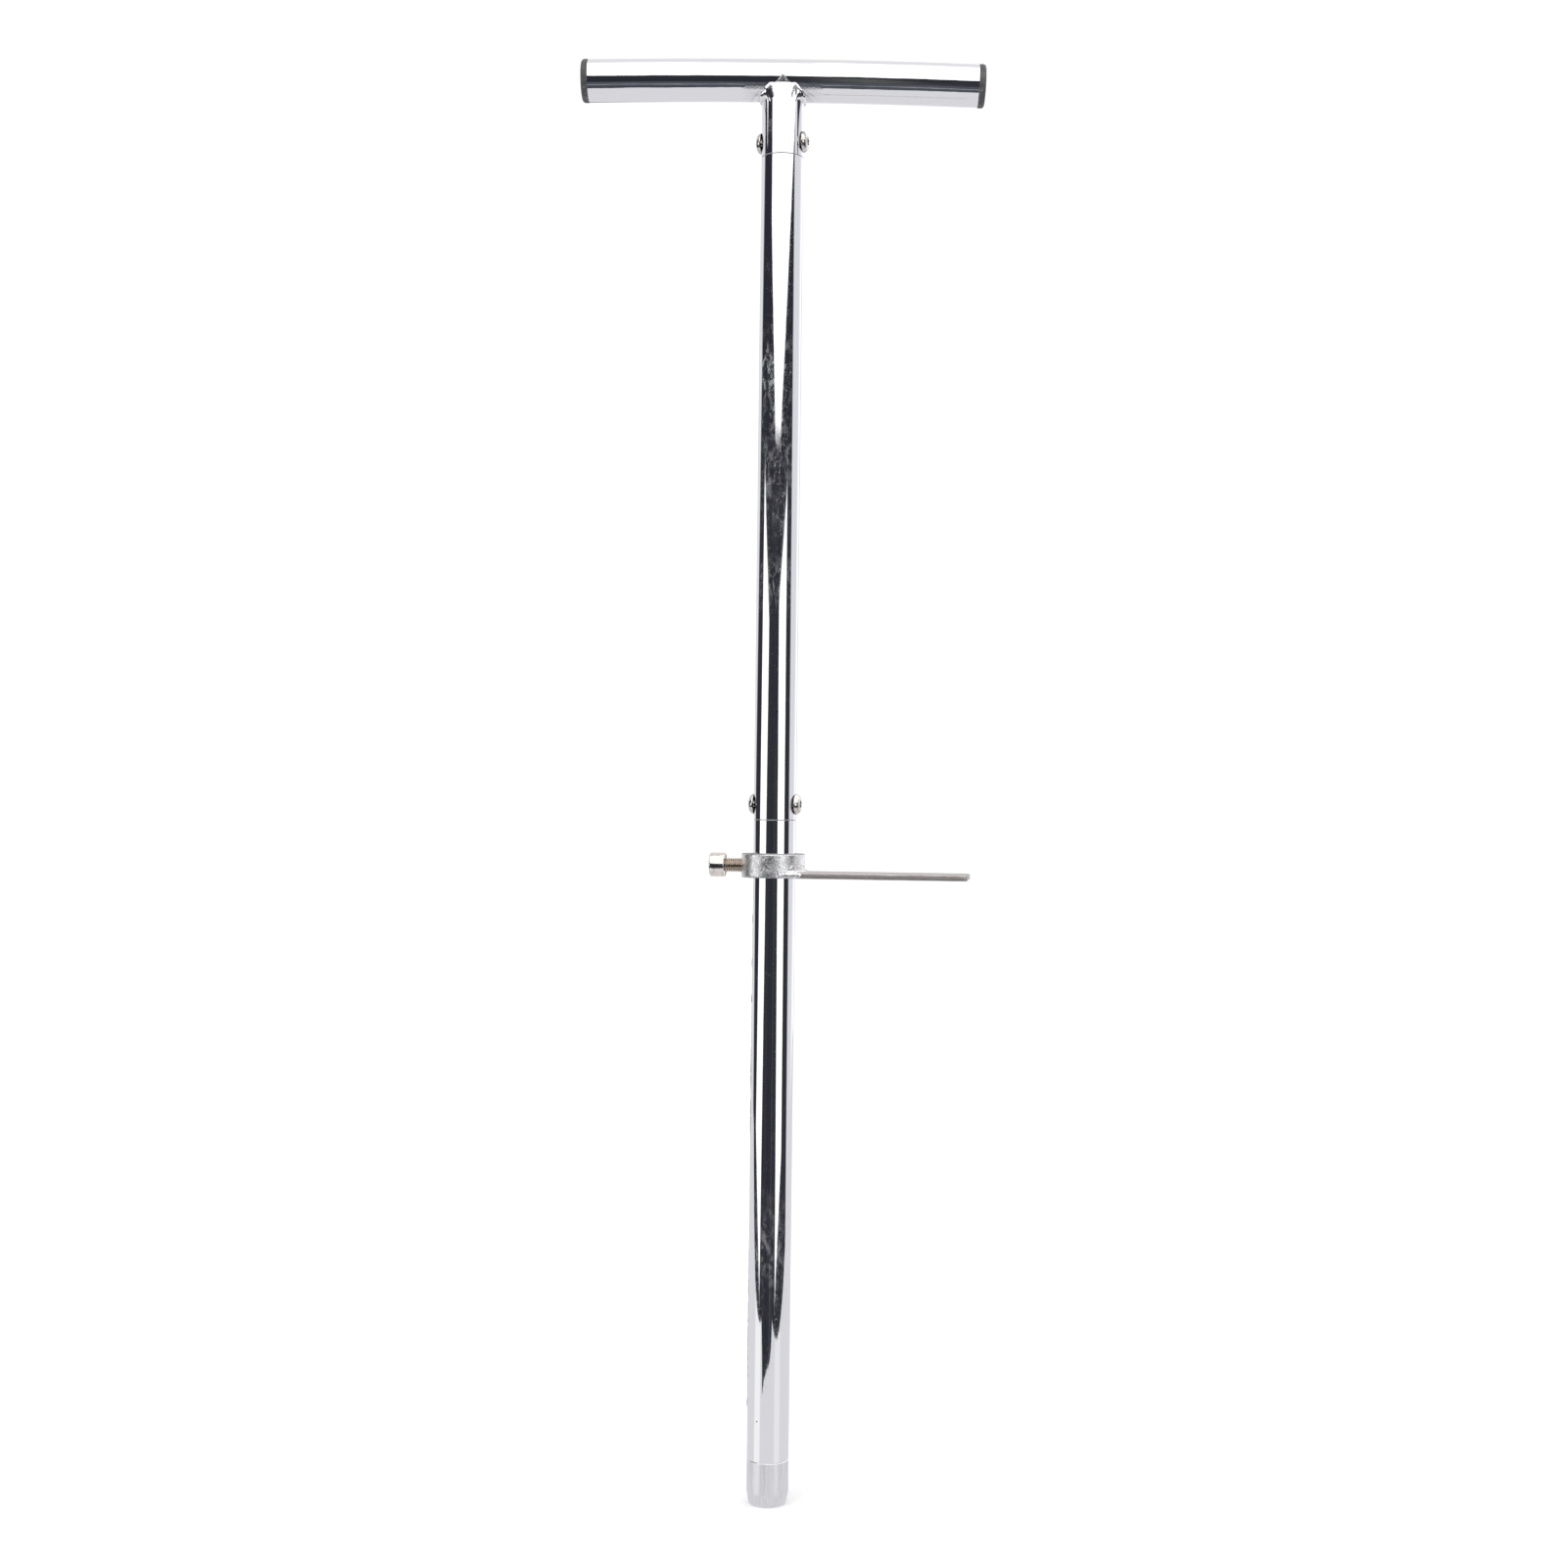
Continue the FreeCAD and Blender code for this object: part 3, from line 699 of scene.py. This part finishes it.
# ---- rough-worked pieces ----
def weathered(node, voxel, slot, relief):
    """Finely remeshed copy of one of the foot step's CAD nodes, moved along its normals.

    relief(point) is how far, in millimetres; so is the point, in the foot step's own square frame.
    """
    copy = bmesh.new()
    copy.from_mesh(nodes[node].data)
    bmesh.ops.remove_doubles(copy, verts=copy.verts, dist=1e-6)
    mesh = bpy.data.meshes.new(node + "_source")
    copy.to_mesh(mesh)
    copy.free()
    mesh.transform(STEP_TURN.inverted())
    source = bpy.data.objects.new(node + "_source", mesh)
    scene.collection.objects.link(source)
    remesh = source.modifiers.new("remesh", "REMESH")
    remesh.mode = "VOXEL"
    remesh.voxel_size = voxel
    smooth = source.modifiers.new("smooth", "SMOOTH")
    smooth.factor = 0.5
    smooth.iterations = 2
    evaluated = source.evaluated_get(bpy.context.evaluated_depsgraph_get())
    fine = bpy.data.meshes.new_from_object(evaluated)
    bpy.data.objects.remove(source)
    normals = [vertex.normal.copy() for vertex in fine.vertices]
    for vertex, normal in zip(fine.vertices, normals):
        vertex.co += normal * relief(vertex.co / MM) * MM
    fine.transform(STEP_TURN)
    fine.name = node + "_worked"
    piece = finish_piece(node + "_worked", fine, "foot_step", materials[slot], 60.0)
    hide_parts(node)


def near_segment(point, start, end):
    """Distance from a point to a segment."""
    line = end - start
    part = max(0.0, min(1.0, (point - start).dot(line) / line.length_squared))
    return (point - start - line * part).length


def on_collar(degrees_from_front, height):
    """Point in millimetres on the collar's outer face; +degrees go to the foot step's side."""
    angle = math.radians(degrees_from_front - 90.0)
    return Vector((COLLAR_CENTRE_X, 0, 0)) / MM + Vector((COLLAR_R / MM * math.cos(angle),
                                                          COLLAR_R / MM * math.sin(angle), height))


def make_collar():
    """Clamp collar with a hammered, torch-marked face and a few gouges beside its weld."""
    low, high = COLLAR_LOW / MM, COLLAR_HIGH / MM
    gouges = [              # start, end and depth
        (on_collar(-14.0, high - 11.6), on_collar(-9.0, high - 9.6), 0.42),
        (on_collar(14.5, low + 1.6), on_collar(14.5, low + 4.8), 0.30),
        (on_collar(40.0, high - 8.6), on_collar(44.0, high - 7.0), 0.35),
        (on_collar(58.0, high - 7.2), on_collar(80.0, high - 8.6), 0.45),
    ]

    def relief(point):
        rough = 0.11 * rough_noise(point, 4.6) + 0.045 * rough_noise(point, 1.6)
        rough += 0.016 * rough_noise(point, 0.8)
        front = math.degrees(math.atan2(point.y, point.x - COLLAR_CENTRE_X / MM)) + 90.0
        by_weld = max(0.0, 1.0 - abs(front - 42.0) / 34.0) * max(0.0, 1.0 - (point.z - low) / 14.0)
        rough += by_weld * (0.34 * abs(rough_noise(point, 2.0)) + 0.14 * rough_noise(point, 1.0))
        for start, end, depth in gouges:
            gap = near_segment(point, start, end)
            if gap < 1.2:
                burr = 0.10 * math.exp(-((gap - 0.7) / 0.3) ** 2)
                rough += burr - depth * math.exp(-(gap / 0.38) ** 2)
        return rough

    weathered("clamp_collar", 0.38 * MM, "collar_steel", relief)


def make_plate():
    """Foot plate with sheared, knocked edges and a slightly wavy rolled surface."""
    middle = (COLLAR_LOW + PLATE_TOP) / 2 / MM
    outer_end = 129.7       # from the tube's axis

    def relief(point):
        wave = 0.06 * rough_noise(point, 22.0) + 0.012 * rough_noise(point, 3.0)
        height = abs(point.z - middle)
        aside = PLATE_HALF_WIDTH / MM - abs(point.y)
        by_edge = math.exp(-(min(aside, outer_end - point.x) / 0.9) ** 2) * min(height / 2.0, 1.0)
        knocks = max(0.0, rough_noise(point, 2.4)) * 0.25 + max(0.0, rough_noise(point, 8.0)) * 0.25
        return wave - by_edge * knocks

    weathered("foot_plate", 0.55 * MM, "plate_steel", relief)


def make_window_lip():
    """Rough dressed edge of the sampling window, standing slightly proud of the tube."""
    half = WINDOW_HALF_WIDTH
    low, high = WINDOW_LOW + half, WINDOW_HIGH - half
    side_steps, end_steps, columns = 340, 60, 14
    path = []               # round the opening, as (aside, height)
    for way, start, end in ((1, low, high), (-1, high, low)):
        for step in range(side_steps):
            path.append((way * half, start + (end - start) * step / side_steps))
        for step in range(end_steps):
            angle = math.pi * step / end_steps
            path.append((way * half * math.cos(angle), end + way * half * math.sin(angle)))
    knocks = [              # height, reach and amount of each raised place, in millimetres
        (360.0, 3.0, 0.30), (336.0, 2.5, 0.30), (392.0, 5.0, 0.28), (290.0, 14.0, 0.26),
        (257.0, 12.0, 0.28), (120.0, 48.0, 0.22), (66.0, 4.0, 0.34)]
    middle_r = TUBE_R - 0.75 * MM
    rings = []
    for number, (aside, height) in enumerate(path):
        before, after = path[number - 1], path[(number + 1) % len(path)]
        tangent = Vector((after[0] - before[0], after[1] - before[1])).normalized()
        turn = math.asin(aside / middle_r)
        radial = Vector((math.cos(turn), math.sin(turn), 0))
        round_tube = Vector((-math.sin(turn), math.cos(turn), 0))
        inward = round_tube * -tangent.y + Vector((0, 0, 1)) * tangent.x
        z = height / MM
        proud = 0.0
        for place, reach, amount in knocks:
            proud = max(proud, amount * math.exp(-((z - place) / reach) ** 4))
        lump = rough_noise((z, aside / MM, 1.5), 2.2)
        fine = rough_noise((z, aside / MM, 8.5), 0.8)
        thick = (0.80 + proud * (0.75 + 0.5 * lump) + 0.05 * fine) * MM
        wide = (0.34 + 0.5 * proud + 0.10 * lump + 0.06 * fine) * MM
        centre = (radial * (middle_r + (0.35 * proud + 0.03 * lump) * MM) + Vector((0, 0, height))
                  + inward * (0.05 * lump) * MM)
        ring = []
        for column in range(columns):
            angle = 2 * math.pi * column / columns
            ring.append(centre + radial * thick * math.cos(angle) + inward * wide * math.sin(angle))
        rings.append([Matrix.Rotation(WINDOW_AZIMUTH, 4, "Z") @ point for point in ring])
    mesh = rings_mesh("window_lip", [rings], closed_loop=True)
    finish_piece("window_lip", mesh, "tool", materials["cut_edge"], 50.0)


# ---- studio, with its angles in degrees ----
def above(tree, value, limit, soft):
    """1 where value is well over limit, 0 where it is well under."""
    return remap(tree, calc(tree, "SUBTRACT", value, limit), -soft, soft, smooth=True)


def below(tree, value, limit, soft):
    """1 where value is well under limit, 0 where it is well over."""
    return remap(tree, calc(tree, "SUBTRACT", value, limit), -soft, soft, 1.0, 0.0, True)


def all_of(tree, *masks):
    """The least of several masks."""
    result = masks[0]
    for mask in masks[1:]:
        result = calc(tree, "MINIMUM", result, mask)
    return result


def azimuth_of(tree, x, y):
    """Degrees round the tube: 0 towards the camera's side (-Y), positive to +X."""
    return calc(tree, "DEGREES", calc(tree, "ARCTAN2", x, calc(tree, "MULTIPLY", y, -1.0)))


def studio_world():
    """White sweep, two tall softboxes, a bright ceiling and the dark room between them.

    Each lit area is bounded by straight edges over azimuth and height, the angle above level.
    """
    world = bpy.data.worlds.new("studio")
    scene.world = world
    world.use_nodes = True
    tree = world.node_tree
    tree.nodes.clear()

    coords = add_node(tree, "ShaderNodeTexCoord")
    x, y, z = add_node(tree, "ShaderNodeSeparateXYZ", {0: coords.outputs["Generated"]}).outputs
    azimuth = azimuth_of(tree, x, y)
    height = calc(tree, "DEGREES", calc(tree, "ARCSINE", z))
    low_or_high = calc(tree, "ABSOLUTE", height)

    def line(value, slope, start):
        """start + slope * value"""
        return calc(tree, "MULTIPLY_ADD", value, slope, start)

    side_soft = 3.0
    edge_soft = 0.35
    left_box = all_of(tree, above(tree, azimuth, line(height, 0.62, -87.0), side_soft),
                      below(tree, azimuth, line(height, 0.80, -47.0), side_soft),
                      below(tree, height, line(azimuth, -0.103, -0.04), edge_soft),
                      above(tree, height, line(azimuth, -0.117, -19.4), edge_soft))
    right_box = all_of(tree, above(tree, azimuth, line(height, -1.05, 16.5), side_soft),
                       below(tree, azimuth, line(height, -0.45, 53.5), side_soft),
                       below(tree, height, line(azimuth, 0.075, 4.15), edge_soft),
                       above(tree, height, line(azimuth, 0.129, -16.7), edge_soft))
    ceiling = all_of(tree, above(tree, height, 9.3, edge_soft),
                     above(tree, height, line(azimuth, -0.150, 6.4), edge_soft),
                     above(tree, height, line(azimuth, 0.125, 8.2), edge_soft),
                     above(tree, azimuth, line(height, -1.0, -40.0), side_soft))
    left_sweep = below(tree, azimuth, line(low_or_high, 1.35, -133.0), 6.0)
    right_sweep = above(tree, azimuth, line(height, -0.75, 85.0), 3.5)
    right_bright = above(tree, azimuth, 128.0, 14.0)
    round_off = calc(tree, "ABSOLUTE", azimuth)
    backdrop = all_of(tree, above(tree, round_off, line(height, -0.25, 165.0), 6.0),
                      below(tree, height, 82.0, 4.0))
    rear_gaps = all_of(tree, above(tree, round_off, 164.0, 2.0), below(tree, round_off, 175.0, 2.0),
                       above(tree, height, -12.0, 2.0), below(tree, height, 14.0, 1.5))

    across = add_node(tree, "ShaderNodeCombineXYZ", {0: calc(tree, "MULTIPLY", azimuth, 0.03),
                                                     1: calc(tree, "MULTIPLY", height, 0.40)})
    upright = add_node(tree, "ShaderNodeCombineXYZ", {0: calc(tree, "MULTIPLY", azimuth, 0.30),
                                                      1: calc(tree, "MULTIPLY", height, 0.02)})
    low_room = all_of(tree, below(tree, height, -24.0, 2.0), above(tree, height, -50.0, 2.0))
    shelves = all_of(tree, low_room, remap(tree, noise(tree, across.outputs[0], 1.0, 4.0), 0.36, 0.60))
    posts = all_of(tree, below(tree, height, 7.0, 3.0),
                   remap(tree, noise(tree, upright.outputs[0], 1.0, 4.0), 0.50, 0.72))
    stand = all_of(tree, above(tree, azimuth, -0.6, 0.3), below(tree, azimuth, 0.9, 0.3),
                   below(tree, height, 1.0, 1.0), above(tree, height, -20.0, 2.0))
    dark = mix_colour(tree, posts, (0.026, 0.027, 0.035, 1.0), (0.070, 0.070, 0.085, 1.0))
    dark = mix_colour(tree, shelves, dark, (0.11, 0.12, 0.145, 1.0))
    dark = mix_colour(tree, stand, dark, (0.10, 0.105, 0.10, 1.0))
    rail = all_of(tree, above(tree, height, -39.0, 1.0), below(tree, height, -35.5, 1.0),
                  remap(tree, noise(tree, across.outputs[0], 3.0, 3.0), 0.35, 0.55))
    dark = mix_colour(tree, rail, dark, (0.36, 0.37, 0.39, 1.0))
    white = grey(1.45)
    colour = mix_colour(tree, left_sweep, dark, (0.80, 0.80, 0.82, 1.0))
    colour = mix_colour(tree, right_sweep, colour, (0.75, 0.75, 0.79, 1.0))
    colour = mix_colour(tree, right_bright, colour, grey(1.15))
    for box in (left_box, right_box, ceiling):
        colour = mix_colour(tree, box, colour, white)
    colour = mix_colour(tree, backdrop, colour, (0.83, 0.83, 0.85, 1.0))
    colour = mix_colour(tree, rear_gaps, colour, grey(0.16))

    rays = add_node(tree, "ShaderNodeLightPath")
    seen = mix_colour(tree, rays.outputs["Is Diffuse Ray"], colour, grey(1.08))
    seen = mix_colour(tree, rays.outputs["Is Camera Ray"], seen, grey(1.05))
    background = add_node(tree, "ShaderNodeBackground", {"Color": seen})
    output = add_node(tree, "ShaderNodeOutputWorld")
    tree.links.new(background.outputs[0], output.inputs[0])


def flat_card(name, outline):
    mesh = bpy.data.meshes.new(name)
    mesh.from_pydata(outline, [], [tuple(range(len(outline)))])
    card = bpy.data.objects.new(name, mesh)
    scene.collection.objects.link(card)
    return card


def studio_table():
    """Paper as the chrome sees it, an emission card with the paper's lit tone and two pale strips painted on as
    painted light: it lies a little low and ends about 0.8 m in front.
    """
    level = -0.102
    outline = [             # seen from above
        (-2.2, 0.9), (-1.163, -0.102), (-0.631, -0.726), (-0.469, -0.646), (-0.361, -0.556),
        (-0.302, -0.649), (-0.144, -0.742), (0.111, -0.790), (0.192, -0.831), (0.281, -0.920),
        (0.872, -0.407), (2.2, 0.9), (2.2, 3.5), (-2.2, 3.5)]
    card = flat_card("table", [(x, y, level) for x, y in outline])
    material = bpy.data.materials.new("table")
    material.use_nodes = True
    tree = material.node_tree
    tree.nodes.clear()
    x, y, _ = object_axes(tree)
    azimuth = azimuth_of(tree, x, y)
    # painted light: pale strips on the paper to the left and right, beyond 0.3 m from the tube
    left_glow = all_of(tree, above(tree, azimuth, -80.0, 5.0), below(tree, azimuth, -44.0, 4.0))
    right_glow = all_of(tree, above(tree, azimuth, 34.0, 4.0), below(tree, azimuth, 66.0, 5.0))
    gap = add_node(tree, "ShaderNodeVectorMath", {0: object_place(tree)}, operation="LENGTH")
    away = remap(tree, gap.outputs["Value"], 0.30, 0.45, smooth=True)
    paper = noise(tree, object_place(tree), 30.0, 4.0)
    colour = mix_colour(tree, paper, (0.70, 0.70, 0.73, 1.0), (0.78, 0.78, 0.80, 1.0))
    colour = mix_colour(tree, all_of(tree, left_glow, away), colour, grey(0.97))
    colour = mix_colour(tree, all_of(tree, right_glow, away), colour, grey(0.87))
    glow = add_node(tree, "ShaderNodeEmission", {"Color": colour})
    output = add_node(tree, "ShaderNodeOutputMaterial")
    tree.links.new(glow.outputs[0], output.inputs[0])
    give(card, material)
    card.visible_camera = False
    card.visible_diffuse = False
    card.visible_shadow = False


def studio_floor():
    """Pale floor. The chrome sees the table card in its place."""
    reach = 9.0
    floor = flat_card("floor", [(-reach, -reach, 0), (reach, -reach, 0), (reach, reach, 0),
                                (-reach, reach, 0)])
    give(floor, floor_material())
    floor.visible_glossy = False


def studio_lights():
    """One soft key high on the left, for shape on the matt pieces."""
    light = bpy.data.lights.new("key", "AREA")
    light.size = 1.2
    light.energy = 12.0
    key = bpy.data.objects.new("key", light)
    scene.collection.objects.link(key)
    key.location = (-1.3, -1.6, 1.9)
    aim = Vector((0.0, 0.0, 0.6)) - key.location
    key.rotation_euler = aim.to_track_quat("-Z", "Y").to_euler()
    key.visible_glossy = False


def studio_camera():
    """Normal lens at half the tool's height, nearly square to it, with a very slight roll."""
    distance = 1.4728
    eye_height = 0.4733
    aside = 0.0058
    azimuth = math.radians(1.2)
    pitch = math.radians(0.24)
    roll = math.radians(0.654)
    camera_data = bpy.data.cameras.new("camera")
    camera_data.sensor_width = 36.0
    camera_data.lens = 50.59
    camera_data.clip_end = 100.0
    camera = bpy.data.objects.new("camera", camera_data)
    scene.collection.objects.link(camera)
    place = Vector((distance * math.sin(azimuth) + aside * math.cos(azimuth),
                    -distance * math.cos(azimuth) + aside * math.sin(azimuth), eye_height))
    turn = (Matrix.Rotation(azimuth, 4, "Z") @ Matrix.Rotation(math.pi / 2 + pitch, 4, "X")
            @ Matrix.Rotation(roll, 4, "Z"))
    camera.matrix_world = Matrix.Translation(place) @ turn
    scene.camera = camera


# ---- put together ----
materials = make_materials()
slot_of = {part["node"]: part["material_slot"] for part in frame["record"]["subparts"]}
for node_name, node in nodes.items():
    give(node, materials[slot_of[node_name]])
give(nodes["handle_bar"], materials["chrome_bar"])

for screw in ("handle_screw_left", "handle_screw_right", "mid_screw_left", "mid_screw_right"):
    make_button_screw(screw)
make_clamp_screw()
make_handle_weld()
make_plate_weld()
make_collar()
make_plate()
make_window_lip()

studio_world()
studio_floor()
studio_table()
studio_lights()
studio_camera()
scene.view_settings.view_transform = "Standard"
